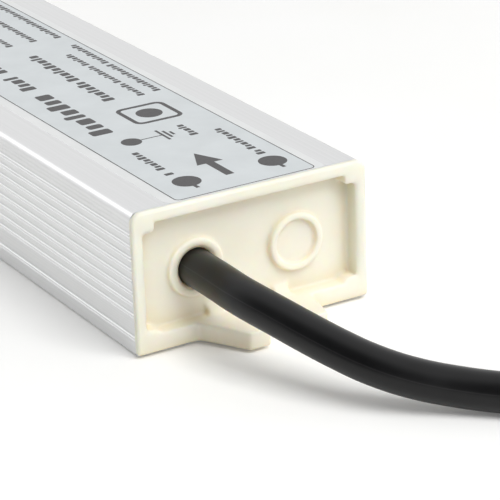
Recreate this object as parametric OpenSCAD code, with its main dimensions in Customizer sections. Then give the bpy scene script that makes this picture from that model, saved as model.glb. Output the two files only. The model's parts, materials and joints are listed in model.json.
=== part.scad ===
// Sealed LED driver: a ribbed aluminium tube with a moulded cap and mounting fork at each end,
// a potted power board inside and a mains lead at the input end.
// X runs across the case, Y along it with the input end at -Y, Z up from the surface it stands on.

/* [Case] */
// Width of the case over its side ridges
case_w = 42.5; // [40:0.5:60]
// Height of the case
case_h = 24; // [23:0.5:34]
// Length of the aluminium extrusion
case_len = 150; // [142:1:220]
// Wall of the extrusion
case_wall = 1; // [0.8:0.1:1.4]
// Radius of the two long top edges
case_top_r = 1.2; // [0.6:0.1:2]
// Radius of the two long bottom edges
case_foot_r = 0.5; // [0.2:0.1:0.9]
// Height of a side ridge, which is a half round
ridge_r = 0.3; // [0.15:0.05:0.4]
// Spacing of the side ridges
ridge_pitch = 1.88; // [1.2:0.02:3]
// Height of the lowest side ridge
ridge_z = 3.6; // [2:0.1:6]
// Pitches from the lowest ridge to the next one
ridge_skip = 2; // [1:1:4]

/* [End caps] */
// How far a cap stands out from the end of the extrusion
flange_t = 1; // [0.6:0.1:2]
// How far a cap's outline stays inside the ridges at the sides
flange_side = 0.2; // [0:0.05:0.6]
// How far a cap's outline stays below the top of the case
flange_drop = 0.05; // [0:0.05:0.6]
// Gap under a cap
flange_lift = 0.5; // [0.2:0.1:1]
// Corner radius of a cap's outline at the top
flange_top_r = 2; // [1:0.1:3]
// Corner radius of a cap's outline at the bottom
flange_foot_r = 0.6; // [0.3:0.1:1]
// Clearance of the plug in the tube
plug_gap = 0.1; // [0.05:0.05:0.3]
// How far the plug reaches into the tube
plug_len = 4.4; // [3.6:0.1:8]
// Wall of the plug beside and above the recess
tray_wall = 0.65; // [0.5:0.05:1]
// Depth of the recess in the cap's face
recess_depth = 2.9; // [2:0.1:3.4]
// Top of the bottom ledge and of the mounting fork
ledge_z = 3.5; // [2.5:0.1:5]
// Side of the square blocks in the recess's top corners
top_block = 2; // [1:0.1:3]
// Radius on the free corner of a block
block_r = 0.5; // [0.2:0.1:0.9]
// Width of the low blocks in the recess's bottom corners
foot_block_w = 2.2; // [1:0.1:4]
// Height of those blocks above the ledge
foot_block_h = 1; // [0.5:0.1:2]
// Distance of the two bosses from the middle
boss_x = 9.2; // [7:0.1:12]
// Radius of a boss
boss_r = 4.9; // [4.5:0.05:6]
// Height of a boss above the recess floor
boss_h = 1; // [0.5:0.1:1.8]
// Rounding of a boss's rim
boss_round = 0.5; // [0.2:0.05:0.6]
// Radius of the cup in a boss
cup_r = 3.6; // [3.4:0.05:3.9]
// Depth of the cup
cup_depth = 0.9; // [0.4:0.1:1.5]
// Clearance of the lead in its hole through the floor of one cup
lead_gap = 0.1; // [0.05:0.05:0.25]

/* [Mounting forks] */
// Reach of a fork from the end of the extrusion
fork_len = 8.9; // [7:0.1:14]
// Width of a fork at its root
fork_root_w = 20.6; // [18:0.1:26]
// Reach of the tip from the middle on the lead's side
tip_near = 5.7; // [4.5:0.1:8]
// Reach of the tip from the middle on the other side
tip_far = 8.6; // [5:0.1:9]
// Rounding of the tip's outer corners
tip_r = 0.8; // [0.3:0.1:1.5]
// Width of the screw slot
slot_w = 4; // [3:0.1:4.6]
// Length of the screw slot from the tip to the middle of its round end
slot_len = 4; // [2:0.1:4.5]
// Outer spacing of the two gussets
gusset_span = 15.1; // [12:0.1:17]
// Thickness of a gusset
gusset_t = 2.4; // [1:0.1:3]
// Height of a gusset above the ledge
gusset_rise = 1.9; // [1:0.1:3]
// Reach of a gusset from the recess floor
gusset_run = 1.7; // [1:0.1:2.5]

/* [Label] */
// Width of the label
label_w = 29; // [20:0.5:36]
// Bare metal left at each end of the label
label_margin = 0.2; // [0.1:0.1:10]
// Corner radius of the label
label_r = 1.2; // [0.5:0.1:3]
// Thickness of the label
label_t = 0.15; // [0.05:0.05:0.3]

/* [Board] */
// Thickness of the insulating sleeve in the tube
sheet_t = 0.4; // [0.2:0.05:0.6]
// Height of the board above the sleeve
board_lift = 3; // [2.4:0.1:4]
// Thickness of the board
board_t = 1.6; // [1:0.1:2]
// Gap from the board to the sleeve at each side
board_gap = 0.2; // [0.1:0.05:0.6]
// Gap from the board to each cap
board_end_gap = 1; // [0.5:0.1:3]
// How far the legs reach below the board
leg_tail = 1.4; // [0.8:0.1:2]
// Clear space between neighbouring parts
part_gap = 1.2; // [0.8:0.1:2]
// Clear space from the parts to the long edges of the board
edge_gap = 1.5; // [1:0.1:2]
// Height of the standing parts above the board
part_lift = 0.8; // [0.4:0.1:1.4]
// Radius of a part's leg
leg_r = 0.4; // [0.25:0.05:0.5]

/* [Input filter] */
// Room left for the lead's cores behind the input cap
inlet_room = 11.6; // [11:0.1:14]
// Radius of the fuse
fuse_r = 4.1; // [3.5:0.1:4.6]
// Height of the fuse
fuse_h = 7.6; // [6:0.1:9]
// Spacing of the fuse's legs
fuse_pitch = 5; // [4:0.1:6]
// Radius of the surge disc
varistor_r = 5.4; // [4.5:0.1:5.8]
// Thickness of the surge disc
varistor_t = 4.2; // [3:0.1:5]
// Radius of the inrush disc
inrush_r = 4.5; // [3.5:0.1:5]
// Thickness of the inrush disc
inrush_t = 4.6; // [3:0.1:5.5]
// Spacing of the legs of both discs
disc_pitch = 5; // [4:0.1:6]
// Width of the line capacitor
line_cap_w = 15; // [12:0.1:16]
// Depth of the line capacitor
line_cap_d = 8.5; // [6:0.1:9]
// Height of the line capacitor
line_cap_h = 12.5; // [10:0.1:13.5]
// Spacing of the line capacitor's legs
line_cap_pitch = 10; // [7.5:0.1:11]
// Outer radius of the choke's ring core
choke_r = 7.5; // [6.5:0.1:8]
// Inner radius of the choke's ring core
choke_bore_r = 4; // [3:0.1:4.6]
// Height of the choke's ring core
choke_h = 7; // [5:0.1:9]
// Thickness of the wire wound on it
choke_wind_t = 1; // [0.6:0.1:1.3]
// Angle covered by each of the two windings
choke_wind_angle = 125; // [90:1:150]
// Width of the rectifier bridge
bridge_w = 15; // [12:0.1:16]
// Thickness of the rectifier bridge
bridge_t = 3.6; // [3:0.1:5]
// Height of the rectifier bridge
bridge_h = 10.5; // [8:0.1:12]
// Spacing of the bridge's legs
bridge_pitch = 3.8; // [3:0.1:4.2]

/* [Power stage] */
// Radius of the bulk capacitor, which lies along the board
bulk_r = 6.8; // [5.5:0.1:7]
// Length of the bulk capacitor
bulk_len = 27; // [20:0.5:28]
// Spacing of the bulk capacitor's legs
bulk_pitch = 5; // [4:0.1:7.5]
// Bend radius of the bulk capacitor's legs
bulk_bend = 1.5; // [1:0.1:2]
// Width of a power transistor
power_w = 8; // [7:0.1:10]
// Thickness of a power transistor
power_t = 3; // [2.4:0.1:3.6]
// Height of a power transistor's body
power_h = 10.5; // [9:0.1:11.5]
// Length of a power transistor's legs above the board
power_leg = 2.6; // [2:0.1:3]
// Spacing of a power transistor's legs
power_pitch = 2.3; // [2:0.1:2.6]
// Thickness of the heat spreaders
spreader_t = 1.5; // [1:0.1:2.5]
// Height of the heat spreaders
spreader_h = 14; // [12:0.1:15]
// Length of the switch's heat spreader
switch_spreader_len = 26; // [14:0.5:30]
// Length of the rectifier's heat spreader
output_spreader_len = 19; // [14:0.5:24]
// Radius of the spreader screws
screw_r = 1.5; // [1.2:0.1:1.7]
// Radius of the screws' heads
screw_head_r = 2.7; // [2.4:0.1:3]
// Height of the screws' heads
screw_head_h = 1.6; // [1:0.1:2]
// Room from a screw's head to the top of its power transistor
head_margin = 0.3; // [0.1:0.1:1]
// Length of the controller chip
chip_len = 5; // [4:0.1:7]
// Width of the controller chip
chip_w = 4; // [3.5:0.1:5]
// Height of the controller chip
chip_h = 1.5; // [1.2:0.1:2]

/* [Transformer] */
// Width of the core
core_w = 26; // [22:0.5:27]
// Length of the core
core_len = 20; // [18:0.5:22]
// Thickness of the core
core_t = 7; // [6:0.1:7.4]
// Width of the core's middle leg
core_leg = 7; // [6:0.1:7.5]
// Width of the core's outer legs
core_side = 3.5; // [3:0.1:4]
// Thickness of the core's end bars
core_back = 3.2; // [2.8:0.1:3.6]
// Gap between the two halves of the core
core_gap = 0.2; // [0.1:0.05:0.4]
// Clearance of the bobbin on the core
bobbin_gap = 0.15; // [0.1:0.05:0.3]
// Wall of the bobbin
bobbin_wall = 0.7; // [0.5:0.1:1]
// Height of the bobbin over its flanges
bobbin_h = 13.2; // [12:0.1:13.8]
// Depth of the bobbin's flange beyond the winding
bobbin_lip = 0.4; // [0.3:0.1:0.8]
// Radius of the bobbin's pins
pin_r = 0.35; // [0.25:0.05:0.45]

/* [Output stage] */
// Radius of the bridging capacitor
bridge_cap_r = 3.8; // [3:0.1:4.2]
// Thickness of the bridging capacitor
bridge_cap_t = 3.4; // [2.5:0.1:4]
// Width of the optocoupler
opto_w = 6.4; // [5:0.1:7]
// Length of the optocoupler
opto_len = 4.6; // [4:0.1:5]
// Height of the optocoupler
opto_h = 3.4; // [3:0.1:4]
// Spacing of the optocoupler's legs along the board
opto_pitch = 2.6; // [2:0.1:3]
// Radius of the two output capacitors
out_cap_r = 5; // [4:0.1:5.2]
// Height of the two output capacitors
out_cap_h = 13.5; // [11:0.1:14.5]
// Spacing of the output capacitors' legs
out_cap_pitch = 5; // [3.5:0.1:6]
// Radius of the output choke's drum core
drum_r = 4; // [3:0.1:4.2]
// Height of the output choke
drum_h = 8; // [6:0.1:10]
// Depth of the wire on the output choke
drum_wire = 1.2; // [0.8:0.1:1.6]
// Length of a chip resistor
smd_len = 3.2; // [2:0.1:3.4]
// Width of a chip resistor
smd_w = 1.6; // [1.2:0.1:2]
// Height of a chip resistor
smd_h = 0.6; // [0.4:0.1:0.8]

/* [Mains lead] */
// Diameter of the lead's jacket
lead_d = 6.2; // [5.4:0.1:6.6]
// Diameter of one core with its insulation
core_d = 2.2; // [1.8:0.1:2.3]
// Diameter of a core's tinned wires
tin_d = 1.1; // [0.9:0.1:1.4]
// Length of the bare tinned ends
tin_len = 6; // [4:0.5:10]
// Bend radius of the cores inside the case
inner_bend = 2.5; // [2:0.1:3]
// Straight run of the lower cores inside the case
inner_run = 2; // [1:0.1:2.5]
// Extra run of the upper core
inner_step = 3; // [2.6:0.1:3.5]

/* [Hidden] */
$fn = 48;
// Overlap that keeps joined volumes and cuts clean
eps = 0.4;
// Wall planes of the extrusion
wall_x = case_w/2-ridge_r;
tube_x = wall_x-case_wall;
tube_z0 = case_wall;
tube_z1 = case_h-case_wall;
ridge_room = case_h-case_top_r-ridge_r-ridge_z;
ridge_steps = [0, for (n = [ridge_skip:floor(ridge_room/ridge_pitch)]) n];
// Cap planes, measured inward from the end of the extrusion
end_y = case_len/2;
panel_y = recess_depth-flange_t;
boss_y = panel_y-boss_h;
cup_y = boss_y+cup_depth;
// A rim's round is held to a little under half of the ring it tops
rim_r = min(boss_round, 0.45*(boss_r-cup_r));
boss_z = case_h/2;
lead_hole_r = lead_d/2+lead_gap;
flange_x = case_w/2-flange_side;
flange_z1 = case_h-flange_drop;
plug_x = tube_x-plug_gap;
plug_z0 = tube_z0+plug_gap;
plug_z1 = tube_z1-plug_gap;
tray_x = plug_x-tray_wall;
tray_z = plug_z1-tray_wall;
gusset_x = gusset_span/2;
slot_y = fork_len-slot_len;
// Room inside the sleeve
cavity_x = tube_x-sheet_t;
cavity_z0 = tube_z0+sheet_t;
cavity_z1 = tube_z1-sheet_t;
cavity_y = end_y-plug_len;
board_x = cavity_x-board_gap;
board_y = cavity_y-board_end_gap;
board_z = cavity_z0+board_lift;
deck = board_z+board_t;
tail_z = board_z-leg_tail;
seat = deck+part_lift;
// Rows of parts, from the input cap towards the output cap
row_a = -cavity_y+inlet_room;
row_a_y = row_a+fuse_r;
row_b = row_a+2*fuse_r+part_gap;
choke_reach = choke_r+choke_wind_t;
line_cap_y = row_b+line_cap_d/2;
bridge_y = row_b+line_cap_d+part_gap+bridge_t/2;
choke_y = row_b+choke_reach;
row_c = row_b+max(2*choke_reach, line_cap_d+part_gap+bridge_t)+part_gap;
bulk_end = row_c+bulk_len;
bulk_leg_y = bulk_end+2*bulk_bend;
switch_y = row_c+switch_spreader_len/2;
row_d = row_c+max(bulk_len+2*bulk_bend+leg_r, switch_spreader_len)+part_gap;
core_y = row_d+core_len/2;
row_e = row_d+core_len+part_gap;
diode_y = row_e+output_spreader_len/2;
row_f = row_e+max(output_spreader_len, 2*out_cap_r)+part_gap;
// Places across the board
fuse_x = -board_x+edge_gap+fuse_r;
varistor_x = fuse_x+fuse_r+part_gap+varistor_r;
inrush_x = varistor_x+varistor_r+part_gap+inrush_r;
line_cap_x = -board_x+edge_gap+line_cap_w/2;
bridge_x = -board_x+edge_gap+bridge_w/2;
choke_x = board_x-edge_gap-choke_reach;
bulk_x = -board_x+edge_gap+bulk_r;
core_x = -board_x+edge_gap+core_w/2;
chip_x = bulk_x+bulk_r+part_gap+chip_w;
small_x = (core_x+core_w/2+board_x)/2;
bridge_cap_y = row_d+bridge_cap_t/2;
opto_y = bridge_cap_y+bridge_cap_t/2+part_gap+opto_len;
spreader_x = cavity_x-spreader_t;
power_x = spreader_x-power_t/2;
out_cap_x = board_x-edge_gap-out_cap_r;
out_cap_y = row_e+out_cap_r;
out_cap_step = 2*out_cap_r+part_gap;
drum_x = out_cap_x-out_cap_step-out_cap_r-part_gap-drum_r;
drum_y = row_e+drum_r;
// Heights of the parts
varistor_z = seat+varistor_r;
inrush_z = seat+inrush_r;
choke_z = seat+choke_wind_t;
bulk_z = deck+bulk_r;
core_z = deck+bobbin_h/2;
power_z = deck+power_leg;
screw_z = power_z+power_h-screw_head_r-head_margin;
bridge_cap_z = seat+bridge_cap_r;
drum_lip = drum_h/6;
// Arms that carry the optocoupler's legs
opto_arm = 3*leg_r;
opto_arm_w = 3*leg_r;
// Feet on each side of the controller chip, and the size of one
chip_feet = 4;
chip_foot = [1, 0.4, 0.25];
// Bobbin planes, measured from the middle of the core
bobbin_hole_x = core_leg/2+bobbin_gap;
bobbin_hole_z = core_t/2+bobbin_gap;
bobbin_tube_x = bobbin_hole_x+bobbin_wall;
bobbin_tube_z = bobbin_hole_z+bobbin_wall;
bobbin_x = core_w/2-core_side-bobbin_gap;
bobbin_half = core_len/2-core_back-bobbin_gap;
winding_x = bobbin_x-bobbin_lip;
winding_z = bobbin_h/2-bobbin_lip;
winding_half = bobbin_half-bobbin_wall;
pin_y = bobbin_half-bobbin_wall/2;
// Cores of the lead where they enter the case and at its far end
core_off = round(100*core_d/sqrt(3))/100;
core_spots = [for (a = [90, 210, 330]) [core_off*cos(a), core_off*sin(a)]];
inner_runs = [inner_run+inner_step, inner_run, inner_run];
inner_spots = [for (i = [0:2]) [core_spots[i].x-boss_x, inner_runs[i]+inner_bend-cavity_y]];
// Leg places on the board: pairs lie across X
function pair(x, y, pitch) = [[x-pitch/2, y], [x+pitch/2, y]];
function row_of(n, x, y, pitch) = [for (i = [0:n-1]) [x+(i-(n-1)/2)*pitch, y]];
fuse_legs = pair(fuse_x, row_a_y, fuse_pitch);
varistor_legs = pair(varistor_x, row_a_y, disc_pitch);
inrush_legs = pair(inrush_x, row_a_y, disc_pitch);
line_cap_legs = pair(line_cap_x, line_cap_y, line_cap_pitch);
bridge_legs = row_of(4, bridge_x, bridge_y, bridge_pitch);
choke_leg_r = choke_bore_r+(choke_r-choke_bore_r)/2;
choke_turns = [90-choke_wind_angle/2, 270-choke_wind_angle/2];
choke_leg_share = [0.15, 0.85];
choke_legs = [for (a = choke_turns) for (s = choke_leg_share)
    [choke_x+choke_leg_r*cos(a+s*choke_wind_angle), choke_y+choke_leg_r*sin(a+s*choke_wind_angle)]];
bulk_legs = pair(bulk_x, bulk_leg_y, bulk_pitch);
function power_legs(x, y) = [for (i = [-1:1]) [x, y+i*power_pitch]];
switch_legs = power_legs(power_x, switch_y);
diode_legs = power_legs(-power_x, diode_y);
pin_pitch = core_leg/3;
bobbin_pins = [for (s = [-1, 1]) for (p = row_of(4, core_x, core_y+s*pin_y, pin_pitch)) p];
bridge_cap_legs = pair(small_x, bridge_cap_y, bridge_cap_r);
opto_legs = [for (s = [-1, 1]) for (p = pair(small_x, opto_y+s*opto_pitch/2, opto_w+opto_arm)) p];
out_cap_spots = [for (i = [0, 1]) [out_cap_x-i*out_cap_step, out_cap_y]];
out_cap_legs = [for (p = out_cap_spots) for (q = pair(p.x, p.y, out_cap_pitch)) q];
drum_legs = pair(drum_x, drum_y, drum_r);
smd_step = smd_len+part_gap;
smd_spots = [for (i = [-3:3]) for (j = [0, 1]) [i*smd_step, row_f+smd_w/2+j*(smd_w+part_gap)]];
part_legs = concat(fuse_legs, varistor_legs, inrush_legs, line_cap_legs, bridge_legs, choke_legs,
    bulk_legs, switch_legs, diode_legs, bridge_cap_legs, opto_legs, out_cap_legs, drum_legs);
// Route of the lead: across from its boss, along from the case's end, height as a share of the boss's
lead_run = [[0, -1, 1], [0, -6, 1], [0, -11, 0.99], [0.5, -15, 0.955], [1.8, -19.5, 0.865],
    [3.6, -24.5, 0.73], [5.7, -29.5, 0.584], [8.1, -34, 0.438], [11, -37.7, 0.303],
    [14.4, -40.7, 0.18], [17.9, -43.4, 0.09], [21.4, -46.4, 0.034], [25.2, -50, 0.011],
    [29.4, -55, 0], [33.2, -61, 0], [36, -68, 0], [37.6, -75.5, 0], [38.2, -83.5, 0],
    [38, -91.5, 0], [37.4, -99.5, 0], [36.6, -107.5, 0], [35.8, -115.5, 0], [35.3, -122, 0],
    [35.2, -128.5, 0], [35.2, -135, 0]];
lead_r = lead_d/2;
lead_route = concat([[-boss_x, -cavity_y, boss_z]],
    [for (p = lead_run) [p.x-boss_x, p.y-end_y, lead_r+p.z*(boss_z-lead_r)]]);
jacket_end = lead_route[len(lead_route)-1];
// Routes of the stripped cores: across and along from the end of the jacket, and height above the surface
core_runs = [[[0, -4.5, 3.05], [-0.1, -9, 2.3], [-0.4, -15, 1], [-0.7, -21, 0.3], [-1, -28, 0.1]],
    [[-1.5, -4.5, 1.15], [-2.5, -9, 0.6], [-4.2, -15, 0.1], [-5.8, -21, 0.1], [-7.4, -28, 0.1]],
    [[1.5, -4.5, 1.15], [2.4, -9, 0.6], [3.6, -15, 0.1], [4.6, -21, 0.1], [5.3, -28, 0.1]]];
core_starts = [for (p = core_spots) jacket_end+[p.x, 0, p.y]];
core_routes = [for (i = [0:2]) concat([core_starts[i], core_starts[i]-[0, core_d, 0]],
    [for (p = core_runs[i]) [jacket_end.x+p.x, jacket_end.y+p.y, core_d/2+p.z]])];
jacket_sides = 12;
core_sides = 8;

// A flat outline in X and Z, carried along Y from y0 to y1
module across(y0, y1) {
    translate([0, y1, 0])
        rotate([90, 0, 0])
            linear_extrude(y1-y0)
                children();
}

// A rectangle from -x to x and z0 to z1, with its own corner radius at the foot and at the top
module rounded(x, z0, z1, foot_r, top_r) {
    translate([-x, z0+foot_r])
        square([2*x, z1-z0-foot_r-top_r]);
    translate([foot_r-x, z0])
        square([2*(x-foot_r), foot_r]);
    translate([top_r-x, z1-top_r])
        square([2*(x-top_r), top_r]);
    for (s = [-1, 1]) {
        translate([s*(x-foot_r), z0+foot_r])
            circle(foot_r);
        translate([s*(x-top_r), z1-top_r])
            circle(top_r);
    }
}

module box(x, y, z) {
    translate([x[0], y[0], z[0]])
        cube([x[1]-x[0], y[1]-y[0], z[1]-z[0]]);
}

module centred(x, y, z0, size) {
    translate([x-size.x/2, y-size.y/2, z0])
        cube(size);
}

// Straight legs from below the board up to a height
module legs(spots, top, r) {
    for (p = spots)
        translate([p.x, p.y, tail_z])
            cylinder(r = r, h = top-tail_z);
}

// A disc that stands on edge, with its axis along Y
module disc(x, y, z, r, t) {
    translate([x, y+t/2, z])
        rotate([90, 0, 0])
            cylinder(r = r, h = t);
}

// A wire that leaves a face along +Y at height z, bends down and ends below the board
module bent_wire(x, y, z, run, bend, r, low) {
    translate([x, y+run, z])
        rotate([90, 0, 0])
            cylinder(r = r, h = run);
    translate([x, y+run, z-bend])
        rotate([90, 0, 90])
            rotate_extrude(angle = 90)
                translate([bend, 0])
                    circle(r);
    translate([x, y+run+bend, low])
        cylinder(r = r, h = z-bend-low);
}

// A tube of n flat sides, swept along a list of points
function unit(v) = v/norm(v);
function heading(p, i) = unit(p[min(i+1, len(p)-1)]-p[max(i-1, 0)]);
function ring(c, t, r, n) =
    let (side = unit(cross(t, [0, 0, 1])), top = cross(side, t))
    [for (k = [0:n-1]) c+r*(cos(360*k/n)*side+sin(360*k/n)*top)];
module tube(p, d, n) {
    last = len(p)-1;
    points = [for (i = [0:last]) each ring(p[i], heading(p, i), d/2, n)];
    walls = [for (i = [0:last-1]) for (k = [0:n-1])
        let (a = i*n+k, b = i*n+(k+1)%n) each [[a, a+n, b+n], [a, b+n, b]]];
    start = [for (k = [0:n-1]) k];
    finish = [for (k = [n-1:-1:0]) last*n+k];
    polyhedron(points, concat([start, finish], walls));
}

module case_extrusion() {
    color("#c9cbcd")
        difference() {
            across(-end_y, end_y) {
                rounded(wall_x, 0, case_h, case_foot_r, case_top_r);
                for (n = ridge_steps)
                    for (s = [-1, 1])
                        translate([s*wall_x, ridge_z+n*ridge_pitch])
                            circle(ridge_r);
            }
            box([-tube_x, tube_x], [-end_y-eps, end_y+eps], [tube_z0, tube_z1]);
        }
}

// The recess's outline, with blocks left standing in its four corners
module recess_outline() {
    difference() {
        translate([-tray_x, ledge_z])
            square([2*tray_x, tray_z-ledge_z]);
        for (s = [-1, 1]) {
            translate([s*(tray_x-top_block/2), tray_z-(top_block-block_r)/2])
                square([top_block, top_block-block_r], center = true);
            translate([s*(tray_x-(top_block-block_r)/2), tray_z-top_block/2])
                square([top_block-block_r, top_block], center = true);
            translate([s*(tray_x-top_block+block_r), tray_z-top_block+block_r])
                circle(block_r);
            translate([s*(tray_x-foot_block_w/2), ledge_z+foot_block_h/2])
                square([foot_block_w, foot_block_h], center = true);
        }
    }
}

// A boss whose rim is rounded on both sides of its crest
module boss(x) {
    crest = boss_h+eps;
    translate([x, panel_y+eps, boss_z])
        rotate([90, 0, 0])
            rotate_extrude() {
                square([boss_r, crest-rim_r]);
                translate([cup_r+rim_r, 0])
                    square([boss_r-cup_r-2*rim_r, crest]);
                for (r = [cup_r+rim_r, boss_r-rim_r])
                    translate([r, crest-rim_r])
                        circle(rim_r);
            }
}

// A round hole along the case, between two depths behind the end of the extrusion
module bored(x, r, y0, y1) {
    translate([x, y1, boss_z])
        rotate([90, 0, 0])
            cylinder(r = r, h = y1-y0);
}

module fork() {
    translate([0, 0, flange_lift])
        linear_extrude(ledge_z-flange_lift)
            hull() {
                translate([-fork_root_w/2, -flange_t])
                    square([fork_root_w, flange_t]);
                for (x = [tip_r-tip_near, tip_far-tip_r])
                    translate([x, tip_r-fork_len])
                        circle(tip_r);
            }
    for (s = [0, 1])
        mirror([s, 0, 0])
            translate([gusset_x-gusset_t, 0, 0])
                rotate([90, 0, 90])
                    linear_extrude(gusset_t)
                        polygon([[panel_y+eps, ledge_z-eps], [panel_y+eps, ledge_z+gusset_rise],
                            [panel_y, ledge_z+gusset_rise], [panel_y-gusset_run, ledge_z],
                            [panel_y-gusset_run, ledge_z-eps]]);
}

// One moulding: flange, plug, recessed face, two cupped bosses, one bored for a lead, and the mounting fork
module end_cap() {
    difference() {
        union() {
            difference() {
                union() {
                    across(-flange_t, 0)
                        rounded(flange_x, flange_lift, flange_z1, flange_foot_r, flange_top_r);
                    box([-plug_x, plug_x], [-flange_t/2, plug_len], [plug_z0, plug_z1]);
                }
                across(-flange_t-eps, panel_y)
                    recess_outline();
            }
            boss(-boss_x);
            boss(boss_x);
            fork();
        }
        bored(-boss_x, cup_r, boss_y-eps, cup_y);
        bored(boss_x, cup_r, boss_y-eps, cup_y);
        bored(-boss_x, lead_hole_r, boss_y, plug_len+eps);
        translate([0, -slot_y, flange_lift-eps])
            cylinder(d = slot_w, h = ledge_z-flange_lift+2*eps);
        box([-slot_w/2, slot_w/2], [-fork_len-eps, -slot_y], [flange_lift-eps, ledge_z+eps]);
    }
}

module input_end_cap() {
    color("#f0ecd9")
        translate([0, -end_y, 0])
            end_cap();
}

module output_end_cap() {
    color("#f0ecd9")
        rotate([0, 0, 180])
            translate([0, -end_y, 0])
                end_cap();
}

module label() {
    half = end_y-label_margin;
    color("#d3d8dc")
        translate([0, 0, case_h])
            linear_extrude(label_t)
                rounded(label_w/2, -half, half, label_r, label_r);
}

module insulation_sleeve() {
    color("#e8e4d0")
        difference() {
            box([-tube_x, tube_x], [-cavity_y, cavity_y], [tube_z0, tube_z1]);
            box([-cavity_x, cavity_x], [-cavity_y-eps, cavity_y+eps], [cavity_z0, cavity_z1]);
        }
}

module board_slab() {
    box([-board_x, board_x], [-board_y, board_y], [board_z, deck]);
}

module drill(spots, r) {
    for (p = spots)
        translate([p.x, p.y, board_z-eps])
            cylinder(r = r, h = board_t+2*eps);
}

module circuit_board() {
    color("#2f6b45")
        difference() {
            board_slab();
            drill(part_legs, leg_r);
            drill(bobbin_pins, pin_r);
            drill(inner_spots, core_d/2);
        }
}

module potting_compound() {
    color("#3a3a3c")
        difference() {
            box([-cavity_x, cavity_x], [-cavity_y, cavity_y], [cavity_z0, cavity_z1]);
            board_slab();
            board_parts();
        }
}

module fuse() {
    color("#3b2a20") {
        translate([fuse_x, row_a_y, seat])
            cylinder(r = fuse_r, h = fuse_h);
        legs(fuse_legs, seat+eps, leg_r);
    }
}

module varistor() {
    color("#2d5fa8") {
        disc(varistor_x, row_a_y, varistor_z, varistor_r, varistor_t);
        legs(varistor_legs, varistor_z-varistor_r/2, leg_r);
    }
}

module inrush_limiter() {
    color("#2f3a33") {
        disc(inrush_x, row_a_y, inrush_z, inrush_r, inrush_t);
        legs(inrush_legs, inrush_z-inrush_r/2, leg_r);
    }
}

module line_capacitor() {
    color("#d8b530") {
        centred(line_cap_x, line_cap_y, deck, [line_cap_w, line_cap_d, line_cap_h]);
        legs(line_cap_legs, deck+eps, leg_r);
    }
}

module choke_ring() {
    translate([choke_x, choke_y, choke_z])
        rotate_extrude()
            translate([choke_bore_r, 0])
                square([choke_r-choke_bore_r, choke_h]);
}

// The space that the two windings and the stretches of core inside them fill
module choke_wound() {
    for (a = choke_turns)
        translate([choke_x, choke_y, choke_z])
            rotate([0, 0, a])
                rotate_extrude(angle = choke_wind_angle)
                    translate([choke_bore_r-choke_wind_t, -choke_wind_t])
                        square([choke_r-choke_bore_r+2*choke_wind_t, choke_h+2*choke_wind_t]);
    legs(choke_legs, choke_z-choke_wind_t/2, leg_r);
}

module choke_core() {
    color("#4a4d50")
        choke_ring();
}

module choke_windings() {
    color("#b5622c")
        difference() {
            choke_wound();
            choke_ring();
        }
}

module bridge_rectifier() {
    color("#26262a") {
        centred(bridge_x, bridge_y, seat, [bridge_w, bridge_t, bridge_h]);
        legs(bridge_legs, seat+eps, leg_r);
    }
}

module bulk_capacitor() {
    color("#33405c") {
        translate([bulk_x, bulk_end, bulk_z])
            rotate([90, 0, 0])
                cylinder(r = bulk_r, h = bulk_len);
        for (p = bulk_legs)
            bent_wire(p.x, bulk_end-eps, bulk_z, bulk_bend+eps, bulk_bend, leg_r, tail_z);
    }
}

// A power transistor with its back on a spreader at +X
module power_part(spots, y) {
    difference() {
        union() {
            centred(power_x, y, power_z, [power_t, power_w, power_h]);
            legs(spots, power_z+eps, leg_r);
        }
        translate([power_x-power_t, y, screw_z])
            rotate([0, 90, 0])
                cylinder(r = screw_r, h = 2*power_t);
    }
}

module spreader(y, span) {
    difference() {
        box([spreader_x, cavity_x], [y-span/2, y+span/2], [deck, deck+spreader_h]);
        translate([spreader_x-eps, y, screw_z])
            rotate([0, 90, 0])
                cylinder(r = screw_r, h = spreader_t+2*eps);
    }
}

module screw(y) {
    translate([spreader_x-power_t-screw_head_h, y, screw_z])
        rotate([0, 90, 0]) {
            cylinder(r = screw_head_r, h = screw_head_h);
            cylinder(r = screw_r, h = screw_head_h+power_t+spreader_t);
        }
}

module switch_transistor() {
    color("#2a2a2c")
        power_part(switch_legs, switch_y);
}

module switch_spreader() {
    color("#b9bcc0")
        spreader(switch_y, switch_spreader_len);
}

module rectifier_diode() {
    color("#2a2a2c")
        mirror([1, 0, 0])
            power_part([for (p = diode_legs) [-p.x, p.y]], diode_y);
}

module rectifier_spreader() {
    color("#b9bcc0")
        mirror([1, 0, 0])
            spreader(diode_y, output_spreader_len);
}

module spreader_screws() {
    color("#8d8f92") {
        screw(switch_y);
        mirror([1, 0, 0])
            screw(diode_y);
    }
}

module controller_chip() {
    color("#222226") {
        centred(chip_x, switch_y, deck+chip_foot.z, [chip_w, chip_len, chip_h]);
        for (p = row_of(chip_feet, switch_y, 0, chip_len/chip_feet))
            for (s = [-1, 1])
                centred(chip_x+s*chip_w/2, p.x, deck, [2*chip_foot.x, chip_foot.y, 2*chip_foot.z]);
    }
}

// Half of the core, on the +Y side of its middle
module core_half() {
    difference() {
        box([-core_w/2, core_w/2], [core_gap/2, core_len/2], [-core_t/2, core_t/2]);
        for (s = [0, 1])
            mirror([s, 0, 0])
                box([core_leg/2, core_w/2-core_side], [-eps, core_len/2-core_back], [-core_t, core_t]);
    }
}

module transformer_core() {
    color("#3c3f42")
        translate([core_x, core_y, core_z])
            for (s = [0, 1])
                mirror([0, s, 0])
                    core_half();
}

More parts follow.
